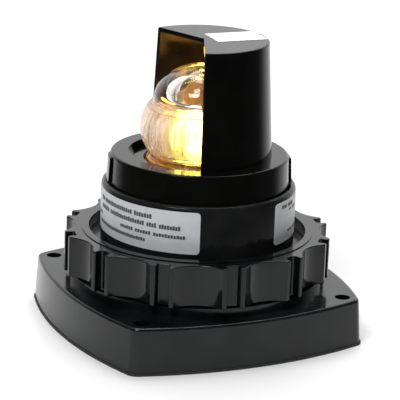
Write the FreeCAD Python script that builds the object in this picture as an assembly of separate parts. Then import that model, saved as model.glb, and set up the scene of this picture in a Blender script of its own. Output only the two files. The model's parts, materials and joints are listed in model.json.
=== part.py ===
import FreeCAD, Part
import math
import os

os.makedirs("parts", exist_ok=True)

V = FreeCAD.Vector
ORIGIN = V(0, 0, 0)
UP = V(0, 0, 1)

# A shaded amber lantern, in millimetres. +Z is up, the origin is the middle of the gasket's underside,
# and the lantern's window faces -Y.

# ---- used everywhere ----
OVER = 1.0                      # how far a cutting tool runs past its cut, or a joined piece is buried
REACH = 120.0                   # far enough to cross everything
CORNER = 1 - math.sqrt(0.5)     # how far in a rounded corner's middle stands, over its radius

# ---- heights of the main faces, from the ground up ----
GASKET_T = 1.5
BASE_TOP = 28.0
PEDESTAL_TOP = 33.6
RING_BOTTOM = 34.5
NECK_TOP = 46.8
FLANGE_BOTTOM = 48.8
FLANGE_TOP = 52.8
RING_TOP = 59.25
LAND_TOP = 59.8
SHOULDER_Z = 80.0
SPIGOT_BASE = 83.5
COLLAR_BOTTOM = 86.0
BODY_RIM = 89.0
SPIGOT_TOP = 93.6
COLLAR_TOP = 106.6
SHADE_TOP = 175.9

# ---- base ----
BASE_CORNER_TOP = 73.5      # half the distance between neighbouring corners, at the top face
BASE_MID_TOP = 85.5         # middle of a bowed side, from the axis, at the top face
BASE_DRAFT = 1.4            # how far the foot stands out beyond the top face
BASE_CORNER_R = 7.0
BASE_EDGE_R = 1.6
BASE_WALL = 4.0
BASE_PLATE = 4.0
GASKET_PROUD = 0.5
BOLT_HALF = 65.9            # bolts stand on a square of twice this side
BOLT_R = 4.6
BOLT_POST_R = 8.5
PEDESTAL_R = 76.0
WELL_R = 65.0
WELL_WALL = 4.0
WELL_FLOOR_Z = 2.5
WELL_FLOOR_T = 3.0
RIB_T = 3.0
RIB_COUNT = 16
FOOT_CORNER_R = 2.0         # the least corner radius of a pulled-in outline
NECK_EDGE = 0.8

# ---- screw thread between base neck and clamp ring ----
PITCH = 6.0
NECK_ROOT_R = 69.3
NECK_CREST_R = 70.9
NECK_THREAD_Z = 37.5
NECK_THREAD_TURNS = 1.2
RING_ROOT_R = 71.5
RING_CREST_R = 70.0
RING_THREAD_Z = NECK_THREAD_Z + PITCH / 2
RING_THREAD_TURNS = 1.2
THREAD_ROOT_W = 3.0
THREAD_CREST_W = 1.8
THREAD_BITE = 0.5           # how deep a thread's foot is buried in its wall

# ---- clamp ring ----
FIN_TIP_R = 80.9
PANEL_COUNT = 12
PANEL_PHASE = 5.0           # degrees, the middle of one hollow panel
PANEL_HALF = 10.2           # degrees, half of a panel's width at the fin tips
PANEL_FLOOR_R = 74.0        # the middle of a hollow panel, from the axis
NOTCH_HALF_W = 4.0
NOTCH_FLOOR_R = 75.3
NOTCH_CORNER_R = 1.5
RING_BORE_R = 65.56
RING_LIP_BOTTOM = 54.6
LAND_R = 69.85
RING_EDGE_R = 0.7
RING_END_R = 0.56

# ---- slip washer ----
WASHER_BOTTOM = 53.0
WASHER_TOP = 54.4
WASHER_IN_R = 65.9
WASHER_OUT_R = 71.0

# ---- lamp body ----
BODY_R = 58.5
BODY_WALL = 3.5
FLANGE_R = 69.5
FLANGE_EDGE = 0.6
PILOT_R = 64.5              # the spigot that centres the body in the base's well
PILOT_H = 6.0
BODY_GROOVE_R = 55.0        # the groove that the collar's skirt stands in
GROOVE_EDGE = 0.4
SPIGOT_ROOF_T = 3.0
BODY_RIM_ROUND = 2.4
SPIGOT_R = 47.5
SPIGOT_BORE_R = 34.0
SPIGOT_CORE_R = 42.5
SEAL_SPREAD = 0.2           # how far the seals stand clear of the walls beside them
BAYONET_COUNT = 3
BODY_LUG_R = 50.8
BODY_LUG_Z = (88.4, 91.0)
BODY_LUG_SPAN = 50.0
HOOD_LUG_R = 48.1
HOOD_LUG_Z = (86.4, 88.0)
HOOD_LUG_SPAN = 40.0
STOP_SPAN = 5.0
STOP_Z = (85.4, 89.4)
STOP_GAP = 0.6              # degrees between a hood lug and its stop

# ---- hood: collar and shade ----
HOOD_AIM = -3.0             # the window's middle, turned about the axis from -Y
COLLAR_R_BOTTOM = 54.4
COLLAR_R_TOP = 53.65
COLLAR_SKIRT_IN_R = 51.4
COLLAR_EDGE_R = 1.5
COLLAR_ROOF_Z = 103.2
THROAT_R = 43.0             # the stepped throat's mouth
THROAT_STEP_W = 0.9
THROAT_STEP_H = 0.95
THROAT_STEPS = 4
LIP_TOP = 102.8
LIP_BOTTOM = 99.3
LIP_R = 33.8
THROAT_IN_R = 42.1
THROAT_OUT_R = 44.6
THROAT_FOOT_Z = 94.6
SHADE_R_BOTTOM = 43.27
SHADE_R_TOP = 39.18
SHADE_WALL = 2.1
SHADE_PLATE = 2.6
SHADE_FOOT_RISE = 0.6       # the shade's foot inside the collar, over the throat's lip
SHADE_EDGE_R = 1.0
SHADE_CUT_R = 0.5           # rounding along the window's upright edges
WINDOW_ANGLE = 135.8
GRIP_PROUD = 1.4
GRIP_EDGE = 1.0
GRIP_SPAN = 14.6            # degrees
GRIP_ANGLE = 254.35         # degrees, the middle of one grip lug, before the hood is aimed
GRIP_Z = (89.5, 105.0)

# ---- lens ----
LENS_FLANGE_R = 41.5
LENS_FLANGE_Z = (95.6, 99.1)
LENS_BEAD_R = 32.2
LENS_BEAD_TOP = 103.8
LENS_NECK_R = 30.0
LENS_ROOT_R = 1.2           # rounding at the bead's foot
LENS_BEAD_EDGE_R = 0.8
LENS_TURN = 0.6             # the small curves at the neck and at the waist
LENS_NECK_Z = 106.4
LENS_BARREL_R = 36.4
LENS_BARREL_Z = 123.5
LENS_WAIST_R = 28.5
LENS_WAIST_Z = 139.0
LENS_APEX_Z = 160.6
LENS_SHOULDER_R = 14.0      # the small radius where the dome turns over
LENS_NECK_IN_R = 26.0
LENS_NECK_IN_Z = 107.5
LENS_BARREL_IN_R = 31.6
LENS_BARREL_IN_Z = 123.0
LENS_WAIST_IN_R = 25.0
LENS_WAIST_IN_Z = 137.6
LENS_STEP_IN_R = 22.0       # on the shoulder between the barrel's hollow and the dome's
LENS_STEP_IN_Z = 138.9
LENS_DOME_IN_R = 16.2
LENS_DOME_IN_Z = 139.8
LENS_DOME_IN_H = 12.2
LENS_DOME_IN_SHOULDER_R = 7.0

# ---- lamp, socket and spring contact ----
LAMP_Z = 124.0
GLASS_NECK_R = 6.6
GLASS_NECK_TOP = 108.2
GLASS_SWELL = (9.9, 109.9)      # radius and height of points up the envelope's side
GLASS_HIP = (12.2, 114.0)
GLASS_BELLY = (12.9, 121.5)
GLASS_CHEST = (12.4, 130.0)
GLASS_TOP_R = 11.2
GLASS_TOP_Z = 138.0
GLASS_CROWN_H = 10.6
GLASS_SHOULDER_R = 7.9
GLASS_WALL = 0.7
STEM_R = 2.2
STEM_BEAD_R = 4.2
STEM_BEAD_H = 1.5
FILAMENT_RISE = 7.0
FILAMENT_SPAN = 7.0
FILAMENT_WIRE_R = 0.35
CAP_R = 7.5
CAP_Z = (89.0, 108.0)
PIN_R = 1.0
PIN_GAP = 0.1
PIN_REACH = 9.2
PIN_Z = 100.0
CAP_GAP = 0.05              # between the cap's collar and the glass
CAP_SEAT = 1.0              # how deep the glass stands in the cap
CAP_WALL = 3.0
CAP_DEPTH = 3.0
BUTTON_R = 2.6
BUTTON_RISE = 1.8
SOCKET_IN_R = 7.9
SOCKET_OUT_R = 9.6
SOCKET_Z = (80.0, 105.5)
SLOT_HALF_W = 1.4
SLOT_TURN = 28.0            # degrees that the lamp turns in its slots
SLOT_DROP = 4.6
SOCKET_FOOT_R = 15.6
SOCKET_FOOT_T = 1.5
REFLECTOR_HUB_R = (10.9, 11.6)
REFLECTOR_RIM_R = 24.5
REFLECTOR_HUB_TOP = 101.8
REFLECTOR_RIM_TOP = 105.5
REFLECTOR_T = 0.6
PLUNGER_HEAD_R = 3.4
PLUNGER_Z = (84.4, 88.0)
PLUNGER_STEM_R = 1.3
PLUNGER_FOOT_Z = 75.6
PLUNGER_GAP = 0.3
SPRING_WIRE_R = 0.35
SPRING_R = 2.4
SPRING_Z = (80.1, 84.3)
SPRING_TURNS = 4

# ---- lamp plate and battery holder ----
LAMP_PLATE_R = 47.0
LAMP_PLATE_Z = (77.0, 80.0)
SCREW_CIRCLE_R = 43.0
SCREW_COUNT = 4
SCREW_SHANK_R = 1.5
SCREW_HEAD_R = 2.9
SCREW_HEAD_H = 2.0
SCREW_BITE = 3.0
SCREW_SLOT_HALF_W = 0.4
SCREW_SLOT_D = 0.9
CELL_R = 16.6
CELL_Z = (11.4, 71.8)       # over the raised end
CELL_NUB_R = 4.7
CELL_NUB_H = 1.6
CELL_HALF_PITCH = 17.1
CELL_POCKET_R = 16.95
TRAY_R = 46.0
TRAY_Z = (7.0, 15.4)
TRAY_FLOOR_T = 2.4
TOP_BOARD_T = 2.4
ROD_R = 2.0
ROD_CIRCLE_R = 36.0
NUT_FLATS = 7.0
NUT_H = 1.9
CONTACT_T = 0.6
CONTACT_W = 9.0
CELL_SPRING_R = 5.0
CELL_SPRING_WIRE_R = 0.4
CELL_SPRING_TURNS = 0.9
LEAD_R = 0.8
LEAD_X = 12.5
PAD_HALF = 4.0              # half of a contact's width over a cell
TERMINAL_HALF = 2.0
TAIL_RISE = 1.0
PAD_R = 3.5
STRAP_REACH = 6.0
STRAP_GAP = 0.3
CHANNEL_HALF = 8.0
CELL_EDGE_R = 1.0

# ---- switch ----
SWITCH_X = (-31.5, -17.5)
SWITCH_HALF_Y = 5.0
SWITCH_TOP = 87.0
SWITCH_SLOT_HALF_X = 4.3
SWITCH_SLOT_HALF_Y = 1.9
SLIDER_TRAVEL = 4.0
SLIDER_TOP = 90.0
SLIDER_GAP = 0.15
SLIDER_EDGE_R = 0.5
SLIDER_DEPTH = 2.8
SWITCH_SLOT_D = 3.0
SWITCH_EDGE_R = 0.8
SWITCH_LEAD_IN = 3.0        # a lead's hole, in from the switch's end
HOLE_GAP = 0.2
ROD_HOLE_GAP = 0.05
ROD_SEAT = 1.0

# ---- labels ----
LABEL_T = 0.2
LABEL_Z = (60.7, 86.1)
LABEL_MAIN = (236.1, 335.6)     # degrees round the body
LABEL_SIDE = (24.8, 99.4)
LABEL_CORNER_R = 2.4
LABEL_TOP_SIZE = (22.0, 32.0)
LABEL_TOP_AT = (0.9, 21.0)
LABEL_TOP_TURN = -4.0
LABEL_TOP_MARGIN = 1.0


# ---------------------------------------------------------------- helpers

def turned(shape, degrees):
    """The shape turned about the lantern's axis."""
    copy = shape.copy()
    copy.rotate(ORIGIN, UP, degrees)
    return copy


def polar(radius, degrees, z=0.0):
    a = math.radians(degrees)
    return V(radius * math.cos(a), radius * math.sin(a), z)


def cylinder(radius, z0, z1, x=0.0, y=0.0):
    return Part.makeCylinder(radius, z1 - z0, V(x, y, z0))


def tube(r_out, r_in, z0, z1):
    return cylinder(r_out, z0, z1).cut(cylinder(r_in, z0 - OVER, z1 + OVER))


def block(x0, x1, y0, y1, z0, z1):
    return Part.makeBox(x1 - x0, y1 - y0, z1 - z0, V(x0, y0, z0))


def revolved(path):
    """A solid of revolution. A path entry is a point (r, z), or an arc given as (through, end)."""
    start = V(path[0][0], 0, path[0][1])
    here = start
    edges = []
    for entry in path[1:]:
        if isinstance(entry[0], tuple):
            through = V(entry[0][0], 0, entry[0][1])
            end = V(entry[1][0], 0, entry[1][1])
            edges.append(Part.Arc(here, through, end).toShape())
        else:
            end = V(entry[0], 0, entry[1])
            edges.append(Part.LineSegment(here, end).toShape())
        here = end
    if here.distanceToPoint(start) > 1e-6:
        edges.append(Part.LineSegment(here, start).toShape())
    face = Part.Face(Part.Wire(edges))
    return face.revolve(ORIGIN, UP, 360)


def sector(reach, start, end, z0, z1):
    """A wedge of a cylinder about the axis, from one angle to another."""
    middle = (start + end) / 2
    rim = Part.Arc(polar(reach, start, z0), polar(reach, middle, z0), polar(reach, end, z0)).toShape()
    side_a = Part.LineSegment(V(0, 0, z0), polar(reach, start, z0)).toShape()
    side_b = Part.LineSegment(polar(reach, end, z0), V(0, 0, z0)).toShape()
    return Part.Face(Part.Wire([side_a, rim, side_b])).extrude(V(0, 0, z1 - z0))


def ring_sector(r_out, r_in, start, end, z0, z1):
    return sector(r_out, start, end, z0, z1).cut(cylinder(r_in, z0 - OVER, z1 + OVER))


def round_wire(path, radius):
    """A round wire along straight runs, with a ball at each bend."""
    pieces = []
    for a, b in zip(path[:-1], path[1:]):
        pieces.append(Part.makeCylinder(radius, (b - a).Length, a, b - a))
    for bend in path[1:-1]:
        pieces.append(Part.makeSphere(radius, bend))
    return pieces[0] if len(pieces) == 1 else pieces[0].multiFuse(pieces[1:])


def coil(radius, wire_r, turns, z0, z1, x=0.0, y=0.0):
    """A coil spring that stands on z0 and ends under z1."""
    height = z1 - z0 - 2 * wire_r
    helix = Part.makeHelix(height / turns, height, radius)
    section = Part.Wire([Part.makeCircle(wire_r, V(radius, 0, 0), V(0, 1, 0))])
    spring = Part.Wire(helix.Edges).makePipeShell([section], True, True)
    spring.translate(V(x, y, z0 + wire_r))
    return spring


def basket(half_width, height, shoulder_r, z):
    """A dome of two tangent arcs, as its foot, mid shoulder, joint, mid crown and crown."""
    inset = half_width - shoulder_r
    crown_r = (inset ** 2 + height ** 2 - shoulder_r ** 2) / (2 * (height - shoulder_r))
    crown_z = z + height - crown_r
    turn = math.atan2(z - crown_z, inset)
    high = (turn + math.pi / 2) / 2

    def shoulder(a):
        return inset + shoulder_r * math.cos(a), z + shoulder_r * math.sin(a)
    top = (crown_r * math.cos(high), crown_z + crown_r * math.sin(high))
    return (half_width, z), shoulder(turn / 2), shoulder(turn), top, (0, z + height)


def thread(root_r, crest_r, z_start, turns):
    """One helical thread. Its foot is buried in the wall behind root_r."""
    side = 1 if crest_r > root_r else -1
    foot_r = root_r - side * THREAD_BITE
    helix = Part.makeHelix(PITCH, PITCH * turns, root_r)
    corners = [
        V(foot_r, 0, -THREAD_ROOT_W / 2),
        V(root_r, 0, -THREAD_ROOT_W / 2),
        V(crest_r, 0, -THREAD_CREST_W / 2),
        V(crest_r, 0, THREAD_CREST_W / 2),
        V(root_r, 0, THREAD_ROOT_W / 2),
        V(foot_r, 0, THREAD_ROOT_W / 2),
    ]
    profile = Part.makePolygon(corners + [corners[0]])
    ridge = Part.Wire(helix.Edges).makePipeShell([profile], True, True)
    ridge.translate(V(0, 0, z_start))
    return ridge


def uprights(shape):
    """The edges that climb more than a millimetre from one end to the other."""
    return [e for e in shape.Edges if abs(e.Vertexes[0].Z - e.Vertexes[-1].Z) > 1.0]


def write(name, shape):
    """Write one node, with its solids alone."""
    solids = shape.Solids
    result = solids[0] if len(solids) == 1 else Part.makeCompound(solids)
    result.exportStep("parts/" + name + ".step")
    print(name, "solids", len(solids), "valid", result.isValid(), "volume", round(result.Volume / 1000.0, 2))


# ---------------------------------------------------------------- base

def bowed_square(corner, middle, z):
    """A square whose four sides bulge outwards as arcs."""
    edges = []
    for side in range(4):
        a = polar(corner * math.sqrt(2), 45 + 90 * side, z)
        m = polar(middle, 90 + 90 * side, z)
        b = polar(corner * math.sqrt(2), 135 + 90 * side, z)
        edges.append(Part.Arc(a, m, b).toShape())
    return Part.Wire(edges)


def bowed_slab(inset, z0, z1):
    """The base's outline pulled in by inset, with the base's draft, between two heights."""
    def outline(z):
        spread = BASE_DRAFT * (BASE_TOP - z) / (BASE_TOP - GASKET_T) - inset
        return bowed_square(BASE_CORNER_TOP + spread, BASE_MID_TOP + spread, z)
    slab = Part.makeLoft([outline(z0), outline(z1)], True, True)
    return slab.makeFillet(max(BASE_CORNER_R - inset, FOOT_CORNER_R), uprights(slab))


def bolt_places():
    return [(sx * BOLT_HALF, sy * BOLT_HALF) for sx in (-1, 1) for sy in (-1, 1)]


def mounting_base():
    outer = bowed_slab(0.0, GASKET_T, BASE_TOP)
    rim = [e for e in outer.Edges if min(v.Z for v in e.Vertexes) > BASE_TOP - 0.01]
    outer = outer.makeFillet(BASE_EDGE_R, rim)
    hollow = bowed_slab(BASE_WALL, GASKET_T - OVER, BASE_TOP - BASE_PLATE)
    shell = outer.cut(hollow)

    ribs = []
    for i in range(RIB_COUNT):
        rib = block(WELL_R + OVER, REACH, -RIB_T / 2, RIB_T / 2, WELL_FLOOR_Z, BASE_TOP - OVER)
        ribs.append(turned(rib, 360.0 / RIB_COUNT * (i + 0.5)))
    posts = [cylinder(BOLT_POST_R, GASKET_T, BASE_TOP - OVER, x, y) for x, y in bolt_places()]
    filling = ribs[0].multiFuse(ribs[1:] + posts).common(bowed_slab(OVER, GASKET_T, BASE_TOP))

    well = cylinder(WELL_R + WELL_WALL, WELL_FLOOR_Z, PEDESTAL_TOP)
    pedestal = cylinder(PEDESTAL_R, BASE_TOP - 2, PEDESTAL_TOP)
    neck = revolved([(0, PEDESTAL_TOP - OVER), (NECK_ROOT_R, PEDESTAL_TOP - OVER),
                     (NECK_ROOT_R, NECK_TOP - NECK_EDGE), (NECK_ROOT_R - NECK_EDGE, NECK_TOP), (0, NECK_TOP)])
    body = shell.multiFuse([filling, well, pedestal, neck])
    body = body.cut(cylinder(WELL_R, WELL_FLOOR_Z + WELL_FLOOR_T, NECK_TOP + OVER))
    body = body.fuse(thread(NECK_ROOT_R, NECK_CREST_R, NECK_THREAD_Z, NECK_THREAD_TURNS))
    for x, y in bolt_places():
        body = body.cut(cylinder(BOLT_R, GASKET_T - OVER, BASE_TOP + OVER, x, y))
    return body


def base_gasket():
    spread = BASE_DRAFT + GASKET_PROUD
    outline = bowed_square(BASE_CORNER_TOP + spread, BASE_MID_TOP + spread, 0.0)
    sheet = Part.Face(outline).extrude(V(0, 0, GASKET_T))
    sheet = sheet.makeFillet(BASE_CORNER_R, uprights(sheet))
    for x, y in bolt_places():
        sheet = sheet.cut(cylinder(BOLT_R, -OVER, GASKET_T + OVER, x, y))
    return sheet


# ---------------------------------------------------------------- clamp ring

def clamp_ring():
    blank = cylinder(FIN_TIP_R, RING_BOTTOM, RING_TOP)
    tip = polar(FIN_TIP_R, PANEL_HALF)
    run = tip.x - PANEL_FLOOR_R
    scoop_r = (run * run + tip.y * tip.y) / (2 * run)
    tools = []
    for i in range(PANEL_COUNT):
        middle = PANEL_PHASE + 360.0 / PANEL_COUNT * i
        scoop = cylinder(scoop_r, RING_BOTTOM - OVER, RING_TOP + OVER, PANEL_FLOOR_R + scoop_r)
        tools.append(turned(scoop, middle))
        notch = block(NOTCH_FLOOR_R, FIN_TIP_R + OVER, -NOTCH_HALF_W, NOTCH_HALF_W,
                      RING_BOTTOM - OVER, RING_TOP + OVER)
        corners = [e for e in uprights(notch) if e.Vertexes[0].X < NOTCH_FLOOR_R + OVER]
        notch = notch.makeFillet(NOTCH_CORNER_R, corners)
        tools.append(turned(notch, middle + 180.0 / PANEL_COUNT))
    grip = blank.cut(tools[0].multiFuse(tools[1:]))
    fin_edges = [e for e in uprights(grip)
                 if math.hypot(e.Vertexes[0].X, e.Vertexes[0].Y) > FIN_TIP_R - 0.5]
    grip = grip.makeFillet(RING_EDGE_R, fin_edges)
    ends = [e for e in grip.Edges if max(v.Z for v in e.Vertexes) < RING_BOTTOM + 0.01
            or min(v.Z for v in e.Vertexes) > RING_TOP - 0.01]
    grip = grip.makeFillet(RING_END_R, ends)

    land = cylinder(LAND_R, RING_TOP - OVER, LAND_TOP)
    ring = grip.fuse(land)
    ring = ring.cut(cylinder(RING_ROOT_R, RING_BOTTOM - OVER, RING_LIP_BOTTOM))
    ring = ring.cut(cylinder(RING_BORE_R, RING_BOTTOM - OVER, LAND_TOP + OVER))
    return ring.fuse(thread(RING_ROOT_R, RING_CREST_R, RING_THREAD_Z, RING_THREAD_TURNS))


def slip_washer():
    return tube(WASHER_OUT_R, WASHER_IN_R, WASHER_BOTTOM, WASHER_TOP)


# ---------------------------------------------------------------- lamp body

def lamp_body():
    inner = BODY_R - BODY_WALL
    rim_in = BODY_GROOVE_R
    mid = BODY_RIM_ROUND * CORNER
    shell = revolved([
        (inner, FLANGE_BOTTOM), (FLANGE_R, FLANGE_BOTTOM), (FLANGE_R, FLANGE_TOP - FLANGE_EDGE),
        (FLANGE_R - FLANGE_EDGE, FLANGE_TOP), (BODY_R, FLANGE_TOP), (BODY_R, BODY_RIM - BODY_RIM_ROUND),
        ((BODY_R - mid, BODY_RIM - mid), (BODY_R - BODY_RIM_ROUND, BODY_RIM)),
        (rim_in + GROOVE_EDGE, BODY_RIM), (rim_in, BODY_RIM - GROOVE_EDGE), (rim_in, SPIGOT_BASE),
        (SPIGOT_R, SPIGOT_BASE), (SPIGOT_R, SPIGOT_TOP), (SPIGOT_BORE_R, SPIGOT_TOP),
        (SPIGOT_BORE_R, SPIGOT_TOP - SPIGOT_ROOF_T), (SPIGOT_CORE_R, SPIGOT_TOP - SPIGOT_ROOF_T),
        (SPIGOT_CORE_R, SPIGOT_BASE), (SPIGOT_BORE_R, SPIGOT_BASE), (SPIGOT_BORE_R, SHOULDER_Z),
        (inner, SHOULDER_Z),
    ])
    pilot = tube(PILOT_R, inner, FLANGE_BOTTOM - PILOT_H, FLANGE_BOTTOM + OVER)
    body = shell.fuse(pilot)
    for i in range(BAYONET_COUNT):
        start = 360.0 / BAYONET_COUNT * i - BODY_LUG_SPAN / 2
        lug = ring_sector(BODY_LUG_R, SPIGOT_R - OVER, start, start + BODY_LUG_SPAN, *BODY_LUG_Z)
        stop_end = 360.0 / BAYONET_COUNT * i - HOOD_LUG_SPAN / 2 - STOP_GAP
        stop = ring_sector(BODY_LUG_R, SPIGOT_R - OVER, stop_end - STOP_SPAN, stop_end,
                           *STOP_Z)
        body = body.multiFuse([lug, stop])
    for i in range(SCREW_COUNT):
        x, y = screw_place(i)
        body = body.cut(cylinder(SCREW_SHANK_R, SHOULDER_Z - OVER, SHOULDER_Z + SCREW_BITE, x, y))
    return body


def body_seal():
    """Flat ring between the neck and the body's flange."""
    bottom = NECK_TOP + SEAL_SPREAD / 2
    return tube(NECK_ROOT_R - 2 * SEAL_SPREAD, WELL_R + SEAL_SPREAD, bottom, FLANGE_BOTTOM)


def hood_seal():
    """Flat ring that the collar's skirt comes down on."""
    return tube(COLLAR_R_BOTTOM + SEAL_SPREAD, COLLAR_SKIRT_IN_R - SEAL_SPREAD, SPIGOT_BASE,
                COLLAR_BOTTOM - SEAL_SPREAD)


# ---------------------------------------------------------------- hood

def hood_collar():
    mid = COLLAR_EDGE_R * CORNER
    path = [
        (COLLAR_SKIRT_IN_R, COLLAR_BOTTOM), (COLLAR_R_BOTTOM, COLLAR_BOTTOM),
        (COLLAR_R_TOP, COLLAR_TOP - COLLAR_EDGE_R),
        ((COLLAR_R_TOP - mid, COLLAR_TOP - mid), (COLLAR_R_TOP - COLLAR_EDGE_R, COLLAR_TOP)),
        (THROAT_R, COLLAR_TOP),
    ]
    for step in range(THROAT_STEPS):
        r = THROAT_R - THROAT_STEP_W * step
        z = COLLAR_TOP - THROAT_STEP_H * (step + 1)
        path += [(r, z), (r - THROAT_STEP_W, z)]
    path += [
        (LIP_R, LIP_TOP), (LIP_R, LIP_BOTTOM), (THROAT_IN_R, LIP_BOTTOM), (THROAT_IN_R, THROAT_FOOT_Z),
        (THROAT_OUT_R, THROAT_FOOT_Z), (THROAT_OUT_R, COLLAR_ROOF_Z), (COLLAR_SKIRT_IN_R, COLLAR_ROOF_Z),
    ]
    return revolved(path)


def hood_shade():
    slope = (SHADE_R_BOTTOM - SHADE_R_TOP) / (SHADE_TOP - COLLAR_TOP)
    foot = LIP_TOP + SHADE_FOOT_RISE
    foot_r = SHADE_R_BOTTOM - slope * (foot - COLLAR_TOP)
    edge = SHADE_EDGE_R
    mid = edge * CORNER
    shell = revolved([
        (0, SHADE_TOP - SHADE_PLATE), (SHADE_R_TOP - SHADE_WALL, SHADE_TOP - SHADE_PLATE),
        (foot_r - SHADE_WALL, foot), (foot_r, foot), (SHADE_R_TOP + slope * edge, SHADE_TOP - edge),
        ((SHADE_R_TOP - mid, SHADE_TOP - mid), (SHADE_R_TOP - edge, SHADE_TOP)), (0, SHADE_TOP),
    ])
    middle = 270 + HOOD_AIM
    window = sector(REACH, middle - WINDOW_ANGLE / 2, middle + WINDOW_ANGLE / 2, LIP_TOP, SHADE_TOP + OVER)
    shade = shell.cut(window)
    cuts = [middle - WINDOW_ANGLE / 2, middle + WINDOW_ANGLE / 2]
    edges = [e for e in uprights(shade) if e.Length > 10.0
             and min(e.Vertexes[0].Point.distanceToPoint(polar(math.hypot(e.Vertexes[0].X, e.Vertexes[0].Y),
                                                               cut, e.Vertexes[0].Z)) for cut in cuts) < 0.01]
    return shade.makeFillet(SHADE_CUT_R, edges)


def hood():
    body = hood_collar().fuse(hood_shade())
    for side in (0, 180):
        middle = GRIP_ANGLE + HOOD_AIM + side
        grip = revolved([(COLLAR_SKIRT_IN_R + OVER, GRIP_Z[0]), (COLLAR_R_BOTTOM + GRIP_PROUD, GRIP_Z[0]),
                         (COLLAR_R_TOP + GRIP_PROUD, GRIP_Z[1] - GRIP_EDGE),
                         (COLLAR_R_TOP + GRIP_PROUD - GRIP_EDGE, GRIP_Z[1]),
                         (COLLAR_SKIRT_IN_R + OVER, GRIP_Z[1])])
        body = body.fuse(grip.common(sector(REACH, middle - GRIP_SPAN / 2, middle + GRIP_SPAN / 2, *GRIP_Z)))
    for i in range(BAYONET_COUNT):
        start = 360.0 / BAYONET_COUNT * i - HOOD_LUG_SPAN / 2
        end = start + HOOD_LUG_SPAN
        body = body.fuse(ring_sector(COLLAR_SKIRT_IN_R + OVER, HOOD_LUG_R, start, end, *HOOD_LUG_Z))
    return body


# ---------------------------------------------------------------- lens

def lens():
    """One clear moulding: flange, bead, barrel, waist and thick dome, hollow up into the dome."""
    flange_bottom, flange_top = LENS_FLANGE_Z
    root, edge, turn = LENS_ROOT_R, LENS_BEAD_EDGE_R, LENS_TURN
    dome_foot = LENS_WAIST_Z + turn
    path = [
        (LENS_NECK_IN_R, flange_bottom), (LENS_FLANGE_R, flange_bottom), (LENS_FLANGE_R, flange_top),
        (LENS_BEAD_R + root, flange_top),
        ((LENS_BEAD_R + root * CORNER, flange_top + root * CORNER), (LENS_BEAD_R, flange_top + root)),
        (LENS_BEAD_R, LENS_BEAD_TOP - edge),
        ((LENS_BEAD_R - edge * CORNER, LENS_BEAD_TOP - edge * CORNER), (LENS_BEAD_R - edge, LENS_BEAD_TOP)),
        (LENS_NECK_R, LENS_NECK_Z - 2 * turn),
        ((LENS_NECK_R + turn * CORNER, LENS_NECK_Z), (LENS_NECK_R + 1.5 * turn, LENS_NECK_Z + 1.6 * turn)),
        ((LENS_BARREL_R, LENS_BARREL_Z), (LENS_WAIST_R + turn, LENS_WAIST_Z - turn)),
        ((LENS_WAIST_R + turn * CORNER, LENS_WAIST_Z - turn * CORNER), (LENS_WAIST_R, dome_foot)),
    ]
    foot, mid, joint, high, crown = basket(LENS_WAIST_R, LENS_APEX_Z - dome_foot, LENS_SHOULDER_R, dome_foot)
    path += [(mid, joint), (high, crown)]
    foot, mid, joint, high, crown = basket(LENS_DOME_IN_R, LENS_DOME_IN_H, LENS_DOME_IN_SHOULDER_R,
                                           LENS_DOME_IN_Z)
    path += [crown, (high, joint), (mid, foot)]
    path += [
        ((LENS_STEP_IN_R, LENS_STEP_IN_Z), (LENS_WAIST_IN_R, LENS_WAIST_IN_Z)),
        ((LENS_BARREL_IN_R, LENS_BARREL_IN_Z), (LENS_NECK_IN_R, LENS_NECK_IN_Z)),
    ]
    return revolved(path)


def lens_gasket():
    return tube(LENS_FLANGE_R, SPIGOT_BORE_R + 2 * SEAL_SPREAD, SPIGOT_TOP, LENS_FLANGE_Z[0])


# ---------------------------------------------------------------- lamp and socket

def lamp_glass():
    """Hollow glass envelope on a neck that stands in the cap."""
    bottom = CAP_Z[1] - CAP_SEAT

    def envelope(wall):
        def inset(point):
            return point[0] - wall, point[1]
        foot, mid, joint, high, crown = basket(GLASS_TOP_R - wall, GLASS_CROWN_H - wall,
                                               GLASS_SHOULDER_R - wall, GLASS_TOP_Z)
        return revolved([
            (0, bottom + wall), (GLASS_NECK_R - wall, bottom + wall),
            (GLASS_NECK_R - wall, GLASS_NECK_TOP + wall),
            (inset(GLASS_SWELL), inset(GLASS_HIP)), (inset(GLASS_BELLY), inset(GLASS_CHEST)),
            foot, (mid, joint), (high, crown),
        ])
    return envelope(0).cut(envelope(GLASS_WALL))


def lamp_filament():
    """A wire bridge across the middle of the glass, on a glass stem with a bead."""
    foot = LAMP_Z - FILAMENT_RISE
    stem = cylinder(STEM_R, CAP_Z[1] - CAP_SEAT + GLASS_WALL, foot)
    bead = cylinder(STEM_BEAD_R, foot - STEM_BEAD_H, foot)
    half = FILAMENT_SPAN / 2
    sunk = foot - STEM_BEAD_H / 3
    bridge = round_wire([V(-half, 0, sunk), V(-half, 0, LAMP_Z), V(half, 0, LAMP_Z), V(half, 0, sunk)],
                        FILAMENT_WIRE_R)
    return stem.multiFuse([bead, bridge])


def lamp_cap():
    """Metal cap with two side pins and a contact button on insulating glass below."""
    bottom, top = CAP_Z
    seat = top - CAP_SEAT
    shell = cylinder(CAP_R, bottom, seat)
    collar = tube(CAP_R, GLASS_NECK_R + CAP_GAP, seat - OVER, top)
    pins = Part.makeCylinder(PIN_R, 2 * PIN_REACH, V(-PIN_REACH, 0, PIN_Z), V(1, 0, 0))
    button = Part.makeSphere(BUTTON_R, V(0, 0, bottom + BUTTON_RISE))
    return shell.multiFuse([collar, pins, button]).cut(cylinder(CAP_R - CAP_WALL, seat - CAP_DEPTH, seat))


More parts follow.
